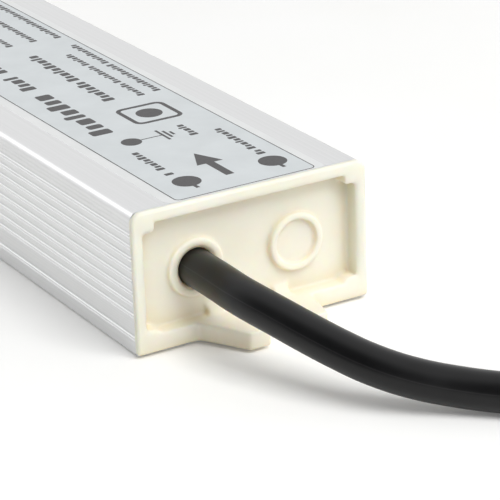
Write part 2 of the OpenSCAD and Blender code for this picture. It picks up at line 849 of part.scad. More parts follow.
module transformer_bobbin() {
    color("#3a352e") {
        translate([core_x, core_y, core_z])
            difference() {
                union() {
                    box([-bobbin_tube_x, bobbin_tube_x], [-bobbin_half, bobbin_half],
                        [-bobbin_tube_z, bobbin_tube_z]);
                    for (s = [0, 1])
                        mirror([0, s, 0])
                            box([-bobbin_x, bobbin_x], [winding_half, bobbin_half],
                                [-bobbin_h/2, bobbin_h/2]);
                }
                box([-bobbin_hole_x, bobbin_hole_x], [-core_len, core_len], [-bobbin_hole_z, bobbin_hole_z]);
            }
        legs(bobbin_pins, deck+eps, pin_r);
    }
}

module transformer_winding() {
    color("#d7c23c")
        translate([core_x, core_y, core_z])
            difference() {
                box([-winding_x, winding_x], [-winding_half, winding_half], [-winding_z, winding_z]);
                box([-bobbin_tube_x, bobbin_tube_x], [-core_len, core_len], [-bobbin_tube_z, bobbin_tube_z]);
            }
}

module bridging_capacitor() {
    color("#2f6fb5") {
        disc(small_x, bridge_cap_y, bridge_cap_z, bridge_cap_r, bridge_cap_t);
        legs(bridge_cap_legs, bridge_cap_z-bridge_cap_r/2, leg_r);
    }
}

module optocoupler() {
    color("#28282b") {
        centred(small_x, opto_y, seat, [opto_w, opto_len, opto_h]);
        for (t = [-1, 1])
            centred(small_x, opto_y+t*opto_pitch/2, seat+opto_h/2-leg_r,
                [opto_w+2*opto_arm, opto_arm_w, 2*leg_r]);
        legs(opto_legs, seat+opto_h/2, leg_r);
    }
}

module output_capacitors() {
    color("#2c3f63") {
        for (p = out_cap_spots)
            translate([p.x, p.y, deck])
                cylinder(r = out_cap_r, h = out_cap_h);
        legs(out_cap_legs, deck+eps, leg_r);
    }
}

module output_choke_core() {
    color("#4a4d50") {
        translate([drum_x, drum_y, deck]) {
            cylinder(r = drum_r, h = drum_lip);
            cylinder(r = drum_r-drum_wire, h = drum_h);
            translate([0, 0, drum_h-drum_lip])
                cylinder(r = drum_r, h = drum_lip);
        }
        legs(drum_legs, deck+eps, leg_r);
    }
}

module output_choke_wire() {
    color("#b5622c")
        translate([drum_x, drum_y, deck+drum_lip])
            difference() {
                cylinder(r = drum_r, h = drum_h-2*drum_lip);
                translate([0, 0, -eps])
                    cylinder(r = drum_r-drum_wire, h = drum_h);
            }
}

module chip_resistors() {
    color("#1d1d20")
        for (p = smd_spots)
            centred(p.x, p.y, deck, [smd_len, smd_w, smd_h]);
}

module inner_core(i) {
    bent_wire(inner_spots[i].x, -cavity_y, boss_z+core_spots[i].y, inner_runs[i], inner_bend,
        core_d/2, tail_z);
}

module inner_brown_core() {
    color("#6b3f22")
        inner_core(0);
}

module inner_blue_core() {
    color("#2c64b4")
        inner_core(1);
}

module inner_earth_core() {
    color("#7fae3a")
        inner_core(2);
}

// Everything that the potting compound surrounds, apart from the board itself
module board_parts() {
    fuse();
    varistor();
    inrush_limiter();
    line_capacitor();
    choke_core();
    choke_wound();
    bridge_rectifier();
    bulk_capacitor();
    switch_transistor();
    switch_spreader();
    rectifier_diode();
    rectifier_spreader();
    spreader_screws();
    controller_chip();
    transformer_core();
    transformer_bobbin();
    transformer_winding();
    bridging_capacitor();
    optocoupler();
    output_capacitors();
    output_choke_core();
    output_choke_wire();
    chip_resistors();
    inner_brown_core();
    inner_blue_core();
    inner_earth_core();
}

module mains_lead() {
    color("#2b2b2b")
        tube(lead_route, lead_d, jacket_sides);
}

module brown_core() {
    color("#6b3f22")
        tube(core_routes[0], core_d, core_sides);
}

module blue_core() {
    color("#2c64b4")
        tube(core_routes[1], core_d, core_sides);
}

module earth_core() {
    color("#7fae3a")
        tube(core_routes[2], core_d, core_sides);
}

module tinned_ends() {
    color("#c4c0b8")
        for (p = core_routes) {
            tip = p[len(p)-1];
            tube([tip, tip+tin_len*heading(p, len(p)-1)], tin_d, core_sides);
        }
}

case_extrusion();
input_end_cap();
output_end_cap();
label();
insulation_sleeve();
circuit_board();
potting_compound();
fuse();
varistor();
inrush_limiter();
line_capacitor();
choke_core();
choke_windings();
bridge_rectifier();
bulk_capacitor();
switch_transistor();
switch_spreader();
rectifier_diode();
rectifier_spreader();
spreader_screws();
controller_chip();
transformer_core();
transformer_bobbin();
transformer_winding();
bridging_capacitor();
optocoupler();
output_capacitors();
output_choke_core();
output_choke_wire();
chip_resistors();
inner_brown_core();
inner_blue_core();
inner_earth_core();
mains_lead();
brown_core();
blue_core();
earth_core();
tinned_ends();
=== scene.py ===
import bpy
import bmesh
import json
import math
import numpy as np
import openvdb
from mathutils import Matrix, Vector


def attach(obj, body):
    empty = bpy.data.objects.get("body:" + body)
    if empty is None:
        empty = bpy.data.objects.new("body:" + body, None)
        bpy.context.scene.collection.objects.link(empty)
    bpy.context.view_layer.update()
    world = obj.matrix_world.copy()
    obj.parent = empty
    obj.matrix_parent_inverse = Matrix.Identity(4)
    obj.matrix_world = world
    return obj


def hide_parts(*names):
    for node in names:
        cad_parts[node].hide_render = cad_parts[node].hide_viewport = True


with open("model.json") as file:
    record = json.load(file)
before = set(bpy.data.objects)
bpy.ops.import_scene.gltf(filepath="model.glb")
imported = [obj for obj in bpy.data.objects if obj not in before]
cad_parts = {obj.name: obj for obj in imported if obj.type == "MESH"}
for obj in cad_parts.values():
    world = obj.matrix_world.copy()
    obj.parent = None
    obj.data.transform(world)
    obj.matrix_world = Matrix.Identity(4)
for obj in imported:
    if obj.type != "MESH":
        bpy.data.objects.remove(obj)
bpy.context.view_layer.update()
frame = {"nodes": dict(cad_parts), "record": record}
scene = bpy.context.scene
scene.view_settings.view_transform = "Standard"
mm = 0.001
print("frame loaded:", len(frame["nodes"]), "nodes")


# camera: fitted to the four edges of the case and the round of the cap in the photograph
cameraSetup = {"lens": 182.2, "sensor": 36.0, "clip": (0.01, 20), "azimuth": -30.198, "elevation": 22.162,
               "roll": -2.026, "place": (-185.28, -393.18, 163.08)}


def placeCamera(setup):
    azimuth, elevation, roll = (math.radians(setup[k]) for k in ("azimuth", "elevation", "roll"))
    back = Vector((math.sin(azimuth) * math.cos(elevation), -math.cos(azimuth) * math.cos(elevation),
                   math.sin(elevation)))
    right = Vector((math.cos(azimuth), math.sin(azimuth), 0))
    up = back.cross(right)
    across = right * math.cos(roll) + up * math.sin(roll)
    upright = up * math.cos(roll) - right * math.sin(roll)
    data = bpy.data.cameras.new("photoCamera")
    data.lens, data.sensor_width = setup["lens"], setup["sensor"]
    data.clip_start, data.clip_end = setup["clip"]
    camera = bpy.data.objects.new("photoCamera", data)
    scene.collection.objects.link(camera)
    turn = Matrix((across, upright, back)).transposed().to_4x4()
    camera.matrix_world = Matrix.Translation(Vector(setup["place"]) * mm) @ turn
    scene.camera = camera


placeCamera(cameraSetup)
print("camera placed")


# colour and node helpers
def toLinear(hexText):  # sRGB hex to the linear colour that sockets take
    parts = [int(hexText[i:i + 2], 16) / 255 for i in (0, 2, 4)]
    return [p / 12.92 if p <= 0.04045 else ((p + 0.055) / 1.055) ** 2.4 for p in parts] + [1.0]


def linkUp(tree, node, links):
    for key, source in links.items():
        tree.links.new(source, node.inputs[key])


def addNode(tree, kind, settings=None, links=None):
    node = tree.nodes.new(kind)
    for key, value in (settings or {}).items():
        if isinstance(key, str) and key[0].islower():  # a property; capital or numbered keys are sockets
            setattr(node, key, value)
        else:
            node.inputs[key].default_value = value
    linkUp(tree, node, links or {})
    return node


def startMaterial(name, settings):
    material = bpy.data.materials.new(name)
    material.use_nodes = True
    shader = material.node_tree.nodes["Principled BSDF"]
    for key, value in settings.items():
        shader.inputs[key].default_value = value
    return material, material.node_tree, shader


def colourSteps(ramp, steps):
    while len(ramp.elements) < len(steps):
        ramp.elements.new(0.5)
    for element, (position, hexText) in zip(ramp.elements, steps):
        element.position = position
        element.color = toLinear(hexText)


def tubeUnits(diameter):  # mm in one unit of a swept tube's own coordinates, around and along
    return math.pi * diameter, 5 * diameter


# anodised aluminium, extruded and satin etched: even pale grey, die lines along the length,
# soft wide reflections; its corners carry painted shade
def anodisedAluminium():
    material, tree, shader = startMaterial("anodisedAluminiumExtruded", {"Metallic": 1.0})
    place = addNode(tree, "ShaderNodeTexCoord")
    lineWidth, lineRun = 0.35, 250  # mm of a die line, drawn wider than real so that it shows
    stretch = addNode(tree, "ShaderNodeMapping",
                      {"Scale": [1 / (size * mm) for size in (lineWidth, lineRun, lineWidth)]},
                      {"Vector": place.outputs["Object"]})
    lines = addNode(tree, "ShaderNodeTexNoise", {"Scale": 1.0, "Detail": 3, "Roughness": 0.6},
                    {"Vector": stretch.outputs[0]})
    grain = addNode(tree, "ShaderNodeTexNoise", {"Scale": 1 / (0.25 * mm), "Detail": 2},
                    {"Vector": place.outputs["Object"]})  # etched grain, 0.25 mm
    tint = addNode(tree, "ShaderNodeValToRGB", None, {"Fac": lines.outputs["Fac"]})
    colourSteps(tint.color_ramp, [(0.3, "dcdddd"), (0.7, "e4e4e5")])
    # painted shade: corners, notches and the undersides of ridges within 0.6 mm are mixed towards b2b2b4
    corner = addNode(tree, "ShaderNodeAmbientOcclusion",
                     {"samples": 8, "only_local": True, "Distance": 0.6 * mm})
    paintedCornerShade = addNode(tree, "ShaderNodeMapRange", {"From Min": 0.95, "From Max": 0.5, "To Max": 0.65},
                    {"Value": corner.outputs["AO"]})  # painted shade: corners within 0.6 mm are darkened in the colour
    tintAndPaintedCornerShade = addNode(tree, "ShaderNodeMix", {"data_type": "RGBA", 7: toLinear("b2b2b4")},
                     {0: paintedCornerShade.outputs[0], 6: tint.outputs["Color"]})
    satin = addNode(tree, "ShaderNodeMapRange", {"To Min": 0.28, "To Max": 0.38},
                    {"Value": lines.outputs["Fac"]})
    height = addNode(tree, "ShaderNodeMath", {"operation": "MULTIPLY_ADD", 1: 0.3},
                     {0: grain.outputs["Fac"], 2: lines.outputs["Fac"]})
    bump = addNode(tree, "ShaderNodeBump", {"Strength": 0.25, "Distance": 0.004 * mm},
                   {"Height": height.outputs[0]})
    linkUp(tree, shader, {"Base Color": tintAndPaintedCornerShade.outputs[2], "Roughness": satin.outputs[0],
                          "Normal": bump.outputs[0]})
    return material


# ABS, injection moulded: ivory, light sinks in a little, and creases and places under the lead are painted
# an amber shade,
# soft gloss from a polished tool
def mouldedAbs():
    material, tree, shader = startMaterial("ivoryAbsMoulded", {
        "IOR": 1.54, "Subsurface Weight": 0.5, "Subsurface Radius": (1.0, 0.65, 0.35),
        "Subsurface Scale": 1.8 * mm})
    place = addNode(tree, "ShaderNodeTexCoord")
    flow = addNode(tree, "ShaderNodeTexNoise", {"Scale": 1 / (9 * mm), "Detail": 2},
                   {"Vector": place.outputs["Object"]})  # flow clouding, 9 mm
    tint = addNode(tree, "ShaderNodeValToRGB", None, {"Fac": flow.outputs["Fac"]})
    colourSteps(tint.color_ramp, [(0.3, "f2eddd"), (0.7, "f5f1e3")])
    creaseOcclusion = addNode(tree, "ShaderNodeAmbientOcclusion", {"samples": 8, "Distance": 4 * mm})
    depth = addNode(tree, "ShaderNodeMapRange", {"From Min": 0.9, "From Max": 0.3, "To Max": 0.6},
                    {"Value": creaseOcclusion.outputs["AO"]})  # painted shade: creases and places within 4 mm of any part, the lead too, turn amber in the colour
    tintAndPaintedCreaseShade = addNode(tree, "ShaderNodeMix", {"data_type": "RGBA", 7: toLinear("e6d2a4")},
                     {0: depth.outputs[0], 6: tint.outputs["Color"]})
    skin = addNode(tree, "ShaderNodeTexNoise", {"Scale": 1 / (0.4 * mm), "Detail": 3},
                   {"Vector": place.outputs["Object"]})  # skin of the tool, 0.4 mm
    gloss = addNode(tree, "ShaderNodeMapRange", {"To Min": 0.34, "To Max": 0.44},
                    {"Value": skin.outputs["Fac"]})
    bump = addNode(tree, "ShaderNodeBump", {"Strength": 0.12, "Distance": 0.01 * mm},
                   {"Height": skin.outputs["Fac"]})
    linkUp(tree, shader, {"Base Color": tintAndPaintedCreaseShade.outputs[2], "Roughness": gloss.outputs[0],
                          "Normal": bump.outputs[0]})
    return material


# polyester label film, metallised and printed: pale silver with a faint cloudy sheen
def labelFilm(name, low, high):
    material, tree, shader = startMaterial(name, {"Metallic": 0.55, "IOR": 1.58})
    place = addNode(tree, "ShaderNodeTexCoord")
    cloud = addNode(tree, "ShaderNodeTexNoise", {"Scale": 1 / (6 * mm), "Detail": 3},
                    {"Vector": place.outputs["Object"]})  # unevenness of the glue under it, 6 mm
    tint = addNode(tree, "ShaderNodeValToRGB", None, {"Fac": cloud.outputs["Fac"]})
    colourSteps(tint.color_ramp, [(0.3, low), (0.7, high)])
    satin = addNode(tree, "ShaderNodeMapRange", {"To Min": 0.4, "To Max": 0.5},
                    {"Value": cloud.outputs["Fac"]})
    linkUp(tree, shader, {"Base Color": tint.outputs["Color"], "Roughness": satin.outputs[0]})
    return material


# screen ink on the film: flat dark grey, a little uneven where it is thin
def screenInk():
    material, tree, shader = startMaterial("screenInkPrinted", {"IOR": 1.5, "Roughness": 0.5})
    place = addNode(tree, "ShaderNodeTexCoord")
    mesh = addNode(tree, "ShaderNodeTexNoise", {"Scale": 1 / (0.5 * mm), "Detail": 2},
                   {"Vector": place.outputs["Object"]})  # mesh of the screen, 0.5 mm
    tint = addNode(tree, "ShaderNodeValToRGB", None, {"Fac": mesh.outputs["Fac"]})
    colourSteps(tint.color_ramp, [(0.3, "3e3d3e"), (0.7, "474647")])
    linkUp(tree, shader, {"Base Color": tint.outputs["Color"]})
    return material


# soft PVC, extruded over the cores: near black with a long satin sheen and faint draw marks
def pvcJacket(diameter):
    material, tree, shader = startMaterial("pvcJacketExtruded", {"IOR": 1.54, "Specular IOR Level": 0.27})
    girth, run = tubeUnits(diameter)
    place = addNode(tree, "ShaderNodeUVMap")
    stretch = addNode(tree, "ShaderNodeMapping", {"Scale": (girth / 0.487, run / 1.033, 1)},
                      {"Vector": place.outputs[0]})  # draw marks, about 0.5 mm around and 1 mm along
    draw = addNode(tree, "ShaderNodeTexNoise", {"Scale": 1.0, "Detail": 3}, {"Vector": stretch.outputs[0]})
    spot = addNode(tree, "ShaderNodeTexCoord")
    scuff = addNode(tree, "ShaderNodeTexNoise", {"Scale": 1 / (5 * mm), "Detail": 4},
                    {"Vector": spot.outputs["Object"]})  # dulled patches, 5 mm
    tint = addNode(tree, "ShaderNodeValToRGB", None, {"Fac": scuff.outputs["Fac"]})
    colourSteps(tint.color_ramp, [(0.3, "111112"), (0.7, "161617")])
    around = addNode(tree, "ShaderNodeSeparateXYZ", None, {"Vector": place.outputs[0]})
    seam = addNode(tree, "ShaderNodeMath", {"operation": "COMPARE", 1: 0.43, 2: 0.156 / 2 / girth},
                   {0: around.outputs["X"]})  # parting line of the extruder, 0.156 mm wide
    lined = addNode(tree, "ShaderNodeMix", {"data_type": "RGBA", 7: toLinear("252526")},
                    {0: seam.outputs[0], 6: tint.outputs["Color"]})
    satin = addNode(tree, "ShaderNodeMapRange", {"To Min": 0.28, "To Max": 0.38},
                    {"Value": scuff.outputs["Fac"]})
    bump = addNode(tree, "ShaderNodeBump", {"Strength": 0.15, "Distance": 0.03 * mm},
                   {"Height": draw.outputs["Fac"]})
    linkUp(tree, shader, {"Base Color": lined.outputs[2], "Roughness": satin.outputs[0],
                          "Normal": bump.outputs[0]})
    return material


# PVC core insulation, extruded: clear bright colour with a gloss; the second colour is a stripe along it
def pvcCore(name, hexText, stripe, diameter):
    material, tree, shader = startMaterial(name, {"IOR": 1.54, "Roughness": 0.32})
    girth = tubeUnits(diameter)[0]
    place = addNode(tree, "ShaderNodeUVMap")
    wave = addNode(tree, "ShaderNodeTexWave", {"Scale": 2 * math.pi / 20, "Distortion": 0.0},
                   {"Vector": place.outputs[0]})  # one wave in a turn, as a wave runs 20 radians in a unit
    tint = addNode(tree, "ShaderNodeValToRGB", None, {"Fac": wave.outputs["Fac"]})
    tint.color_ramp.interpolation = "CONSTANT"
    stripeFrom = (1 + math.cos(math.pi * 2.92 / girth)) / 2  # the wave is above this for 2.92 mm
    colourSteps(tint.color_ramp, [(0.0, hexText), (stripeFrom, stripe)])
    draw = addNode(tree, "ShaderNodeTexNoise", {"Scale": girth / 0.23, "Detail": 2},
                   {"Vector": place.outputs[0]})  # draw marks, 0.23 mm around
    bump = addNode(tree, "ShaderNodeBump", {"Strength": 0.1, "Distance": 0.02 * mm},
                   {"Height": draw.outputs["Fac"]})
    linkUp(tree, shader, {"Base Color": tint.outputs["Color"], "Normal": bump.outputs[0]})
    return material


# strands and the pieces inside the case: each its own stock, with a fine grain in colour and gloss
def workshopFinish(name, low, high, metallic, roughness, grainSize):
    material, tree, shader = startMaterial(name, {"Metallic": metallic})
    place = addNode(tree, "ShaderNodeTexCoord")
    grain = addNode(tree, "ShaderNodeTexNoise", {"Scale": 1 / (grainSize * mm), "Detail": 3},
                    {"Vector": place.outputs["Object"]})
    tint = addNode(tree, "ShaderNodeValToRGB", None, {"Fac": grain.outputs["Fac"]})
    colourSteps(tint.color_ramp, [(0.3, low), (0.7, high)])
    gloss = addNode(tree, "ShaderNodeMapRange", {"To Min": roughness, "To Max": roughness + 0.12},
                    {"Value": grain.outputs["Fac"]})
    bump = addNode(tree, "ShaderNodeBump", {"Strength": 0.2, "Distance": 0.02 * mm},
                   {"Height": grain.outputs["Fac"]})
    linkUp(tree, shader, {"Base Color": tint.outputs["Color"], "Roughness": gloss.outputs[0],
                          "Normal": bump.outputs[0]})
    return material


# mesh helpers, in mm
def arc(x, y, radius, start, end, steps):  # points on an arc, from one angle in degrees to another
    angles = [math.radians(start + (end - start) * k / steps) for k in range(steps + 1)]
    return [Vector((x + radius * math.cos(a), y + radius * math.sin(a))) for a in angles]


def roundedSheet(x0, x1, y0, y1, radius, steps=6):  # a counter-clockwise rectangle with rounded corners
    corners = ((x1 - radius, y0 + radius, -90), (x1 - radius, y1 - radius, 0),
               (x0 + radius, y1 - radius, 90), (x0 + radius, y0 + radius, 180))
    return [point for x, y, start in corners for point in arc(x, y, radius, start, start + 90, steps)]


def inset(outline, distance):  # a counter-clockwise outline moved inwards
    moved = []
    for i, here in enumerate(outline):
        first = (here - outline[i - 1]).normalized()
        second = (outline[(i + 1) % len(outline)] - here).normalized()
        sides = Vector((-first.y - second.y, first.x + second.x))
        moved.append(here + sides * (distance / (1 + first.dot(second))))
    return moved


def loft(bm, rings, closed=False):  # quads between equal rings of points
    made = [[bm.verts.new(p) for p in ring] for ring in rings]
    following = made[1:] + (made[:1] if closed else [])
    for a, b in zip(made, following):
        for i in range(len(a)):
            j = (i + 1) % len(a)
            bm.faces.new((a[i], a[j], b[j], b[i]))
    return made


def ringEdges(bm, ring):
    pairs = [(ring[i - 1], ring[i]) for i in range(len(ring))]
    return [bm.edges.get(pair) or bm.edges.new(pair) for pair in pairs]


def makePiece(name, bm, materials, standsFor, sharpAngle=38):
    bmesh.ops.scale(bm, vec=(mm, mm, mm), verts=bm.verts)
    bmesh.ops.recalc_face_normals(bm, faces=bm.faces)
    mesh = bpy.data.meshes.new(name)
    bm.to_mesh(mesh)
    bm.free()
    for material in materials:
        mesh.materials.append(material)
    mesh.shade_smooth()
    mesh.set_sharp_from_angle(angle=math.radians(sharpAngle))
    piece = bpy.data.objects.new(name, mesh)
    scene.collection.objects.link(piece)
    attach(piece, "root")
    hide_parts(standsFor)
    weighted = piece.modifiers.new("cleanFacets", "WEIGHTED_NORMAL")
    weighted.keep_sharp = True
    return piece


# mains lead: straight out of the boss, down to the floor and along it in one loose bend,
# stripped at its far end
leadShape = {"diameter": 6.2, "sides": 32, "step": 1.0, "cutRound": 0.25,
             "route": [(-9.2, -70.6, 12), (-9.2, -76, 12), (-9.2, -81, 12), (-9.2, -86, 11.911),
                       (-8.7, -90, 11.6), (-7.4, -94.5, 10.799), (-5.6, -99.5, 9.597),
                       (-3.5, -104.5, 8.298), (-1.1, -109, 6.998), (1.8, -112.7, 5.797),
                       (5.2, -115.7, 4.702), (8.7, -118.4, 3.901), (12.2, -121.4, 3.403),
                       (16, -125, 3.198), (20.2, -130, 3.1), (24, -136, 3.1), (26.8, -143, 3.1),
                       (28.4, -150.5, 3.1), (29, -158.5, 3.1), (28.8, -166.5, 3.1), (28.2, -174.5, 3.1),
                       (27.4, -182.5, 3.1), (26.6, -190.5, 3.1), (26.1, -197, 3.1), (26, -203.5, 3.1),
                       (26, -210, 3.1)]}
coreShape = {"diameter": 2.2, "sides": 20, "step": 0.8, "cutRound": 0.15, "routes": {
    "brown": [(26, -210, 4.37), (26, -212.2, 4.37), (26, -214.5, 4.15), (25.9, -219, 3.4),
              (25.6, -225, 2.1), (25.3, -231, 1.4), (25, -238, 1.2)],
    "blue": [(24.9, -210, 2.465), (24.9, -212.2, 2.465), (24.5, -214.5, 2.25), (23.5, -219, 1.7),
             (21.8, -225, 1.2), (20.2, -231, 1.2), (18.6, -238, 1.2)],
    "earth": [(27.1, -210, 2.465), (27.1, -212.2, 2.465), (27.5, -214.5, 2.25), (28.4, -219, 1.7),
              (29.6, -225, 1.2), (30.6, -231, 1.2), (31.3, -238, 1.2)]}}
strandShape = {"length": 5.9, "bundle": 0.37, "strand": 0.17, "twist": 9.0, "count": 6,
               "sides": 8, "steps": 24}
leadFinish = {
    "jacket": pvcJacket(leadShape["diameter"]),
    "brown": pvcCore("pvcCoreBrown", "6b3f22", "6f4225", coreShape["diameter"]),
    "blue": pvcCore("pvcCoreBlue", "2c64b4", "2f68b8", coreShape["diameter"]),
    "earth": pvcCore("pvcCoreGreenYellow", "4f9a3c", "e3cf3a", coreShape["diameter"]),
    "tin": workshopFinish("tinnedCopperStrands", "c0bdb6", "cfccc6", 1.0, 0.28, 0.3),
}


def smoothRoute(points, step):  # a smooth line through the route's points
    points = [Vector(p) for p in points]
    padded = [points[0] * 2 - points[1]] + points + [points[-1] * 2 - points[-2]]
    line = []
    for a, b, c, d in zip(padded, padded[1:], padded[2:], padded[3:]):
        count = max(2, round((c - b).length / step))
        for k in range(count):
            t = k / count
            line.append(0.5 * (2 * b + (c - a) * t + (2 * a - 5 * b + 4 * c - d) * t ** 2
                               + (3 * b - a - 3 * c + d) * t ** 3))
    return line + [points[-1]]


def lengthOf(line):
    return sum((b - a).length for a, b in zip(line, line[1:]))


def sweep(bm, line, radius, sides, cutRound=0.0):  # a round tube along a line, with its own coordinates
    uvLayer = bm.loops.layers.uv.verify()
    run = tubeUnits(2 * radius)[1]
    turns = [2 * math.pi * k / sides for k in range(sides)]
    side = Vector((1, 0, 0))
    rings, along, travelled = [], [], 0.0
    for i, point in enumerate(line):
        heading = (line[min(i + 1, len(line) - 1)] - line[max(i - 1, 0)]).normalized()
        side = (side - heading * side.dot(heading)).normalized()
        top = heading.cross(side)
        travelled += (point - line[i - 1]).length if i else 0.0
        cuts = [(0.0, 0.0)]
        if cutRound and i == len(line) - 1:  # the cut end, with its edge eased
            cuts = [(-cutRound, 0.0), (0.0, cutRound), (0.0, radius / 2)]
        for shift, narrower in cuts:
            middle, size = point + heading * shift, radius - narrower
            rings.append([middle + size * (side * math.cos(t) + top * math.sin(t)) for t in turns])
            along.append(travelled + shift + narrower)
    made = [[bm.verts.new(p) for p in ring] for ring in rings]
    for n, (a, b) in enumerate(zip(made, made[1:])):
        for k in range(sides):
            j = (k + 1) % sides
            face = bm.faces.new((a[k], a[j], b[j], b[k]))
            spots = ((k, n), (k + 1, n), (k + 1, n + 1), (k, n + 1))
            for loop, (around, row) in zip(face.loops, spots):
                loop[uvLayer].uv = (around / sides, along[row] / run)
    bm.faces.new(made[-1])
    bm.faces.new(made[0][::-1])


def addStrands(bm, coreLine, s):  # one strand in the middle and the rest twisted round it
    end = coreLine[-1]
    heading = (end - coreLine[-2]).normalized()
    side = heading.cross(Vector((0, 0, 1))).normalized()
    top = side.cross(heading)
    for n in range(s["count"] + 1):
        out = s["bundle"] if n < s["count"] else 0.0
        strandLine = []
        for k in range(s["steps"] + 1):
            run = s["length"] * k / s["steps"]
            angle = 2 * math.pi * (n / s["count"] + run / s["twist"])
            strandLine.append(end + heading * run + (side * math.cos(angle) + top * math.sin(angle)) * out)
        sweep(bm, strandLine, s["strand"], s["sides"])


leadLine = smoothRoute(leadShape["route"], leadShape["step"])
leadBm = bmesh.new()
sweep(leadBm, leadLine, leadShape["diameter"] / 2, leadShape["sides"], leadShape["cutRound"])
lead = makePiece("mainsLead", leadBm, [leadFinish["jacket"]], "mains_lead")

strandBm = bmesh.new()
for colour, route in coreShape["routes"].items():
    coreLine = smoothRoute(route, coreShape["step"])
    coreBm = bmesh.new()
    sweep(coreBm, coreLine, coreShape["diameter"] / 2, coreShape["sides"], coreShape["cutRound"])
    core = makePiece(colour + "Core", coreBm, [leadFinish[colour]], colour + "_core")
    addStrands(strandBm, coreLine, strandShape)
makePiece("tinnedStrands", strandBm, [leadFinish["tin"]], "tinned_ends")
print("mains lead swept:", round(lengthOf(leadLine), 1), "mm")


# ribbed case: one profile drawn out along the length, its saw cuts eased
caseShape = {"wallX": 20.95, "height": 24.0, "half": 74.85, "wall": 1.0, "cutRound": 0.07,
             "topRound": 1.45, "footRound": 0.5, "footSteps": 5, "arcSteps": 8,
             "ridge": 0.25, "firstRidge": 3.15, "pitch": 1.91, "ridgeSteps": (0, 2, 3, 4, 5, 6, 7, 8, 9),
             "notch": (0.14, 0.16), "grooves": (21.4, 22.1), "groove": (0.07, 0.2)}  # depth and half width


def caseProfile(s):
    wall, ridge, top, foot = s["wallX"], s["ridge"], s["topRound"], s["footRound"]
    right = arc(wall - foot, foot, foot, -90, 0, s["footSteps"])
    depth, halfWidth = s["notch"]
    for n in s["ridgeSteps"]:
        middle = s["firstRidge"] + n * s["pitch"]
        under = middle - ridge - halfWidth
        right += [(wall, under - halfWidth), (wall - depth, under)]  # the die cuts in under each ridge
        right += arc(wall, middle, ridge, -90, 90, s["arcSteps"])
    depth, halfWidth = s["groove"]
    for z in s["grooves"]:  # two fine die grooves under the top edge
        right += [(wall, z - halfWidth), (wall - depth, z), (wall, z + halfWidth)]
    right += arc(wall - top, s["height"] - top, top, 0, 90, s["arcSteps"])
    return [Vector(p) for p in right] + [Vector((-x, z)) for x, z in reversed(right)]


def buildCase(s):
    bm = bmesh.new()
    outer = caseProfile(s)
    boreX, boreFoot, boreTop = s["wallX"] - s["wall"], s["wall"], s["height"] - s["wall"]
    bore = [(boreX, boreFoot), (boreX, boreTop), (-boreX, boreTop), (-boreX, boreFoot)]
    shell, tunnel = [], []
    for end in (-1, 1):
        cuts = [(s["half"], s["cutRound"]), (s["half"] - s["cutRound"], 0.0)]
        for y, narrower in cuts[::-end]:  # from the near end to the far end
            shell.append([(x, end * y, z) for x, z in inset(outer, narrower)])
        tunnel.append([(x, end * s["half"], z) for x, z in bore])
    shellRings, tunnelRings = loft(bm, shell), loft(bm, tunnel)
    for ring, hole in ((shellRings[0], tunnelRings[0]), (shellRings[-1], tunnelRings[-1])):
        bmesh.ops.triangle_fill(bm, use_beauty=True, edges=ringEdges(bm, ring) + ringEdges(bm, hole))
    return bm


makePiece("ribbedCase", buildCase(caseShape), [anodisedAluminium()], "case_extrusion")
print("case drawn out")


# end cap: flange, recessed face, cupped bosses, mounting fork and gussets are one moulding, so it is drawn
# as one distance field in which they run into each other with the fillets of the mould
capShape = {"x": 21.24, "foot": 0.5, "top": 24.08, "topRound": 2.0, "footRound": 0.6,
            "flange": 1.0, "seat": 0.15, "rimRound": 0.55,
            "plugX": 19.85, "plugFoot": 1.1, "plugTop": 22.9, "plugDepth": 4.4, "plugRound": 0.3,
            "trayX": 19.3, "trayTop": 22.0, "ledge": 3.5, "floor": 1.9, "crease": 0.5,
            "lipRound": (0.5, 1.2),  # above and below the recess, and down its sides
            "topBlock": (2.0, 1.65, 0.8), "footBlock": (2.6, 0.8, 2.0),  # width, height and rounding
            "bossX": 9.2, "bossZ": 12.0, "bossR": 4.9, "bossTop": 0.9, "bossRound": 0.45, "bossFillet": 0.55,
            "cup": (3.55, 3.75), "cupFloor": (1.25, 1.8), "cupRound": 0.5, "hole": 3.2,  # lead's cup first
            "forkReach": 8.9, "forkRoot": 10.3, "forkRound": 0.35, "rootFillet": 0.8,
            "tipNear": 5.7, "tipFar": 8.6, "tipRound": 0.5,
            "slot": 2.0, "slotMiddle": 4.9, "slotRound": 0.4,
            "gusset": 6.15, "gussetHalf": 1.4, "gussetRise": 1.9, "gussetRun": 1.7, "gussetRound": 0.6,
            "half": 75.0, "cell": 0.14, "margin": 0.6, "band": 3, "adaptivity": 0.02}


def easedJoin(a, b, size):  # both shapes, with a fillet in the corner between them
    near = np.maximum(size - abs(a - b), 0) / size
    return np.minimum(a, b) - near * near * size / 4


def easedCut(a, b, size):  # the first shape less the second, with the edge eased
    return -easedJoin(-a, b, size)


def easedMeet(a, b, size):  # what two shapes share, with the edge eased
    return -easedJoin(-a, -b, size)


def drawnOut(outline, depth, edge):  # an outline carried through a depth, with its edges rounded
    a, b = outline + edge, depth + edge
    return np.minimum(np.maximum(a, b), 0) + np.hypot(np.maximum(a, 0), np.maximum(b, 0)) - edge


def roundedBox(x, z, half, low, high, lowRound, highRound):
    middle = (low + high) / 2
    corner = np.where(z > middle, highRound, lowRound)
    return drawnOut(abs(x) - half, abs(z - middle) - (high - low) / 2, corner)


def leaning(x, y, start, end):  # distance to the left of a line from start to end
    along = Vector(end) - Vector(start)
    return ((x - start[0]) * -along.y + (y - start[1]) * along.x) / along.length


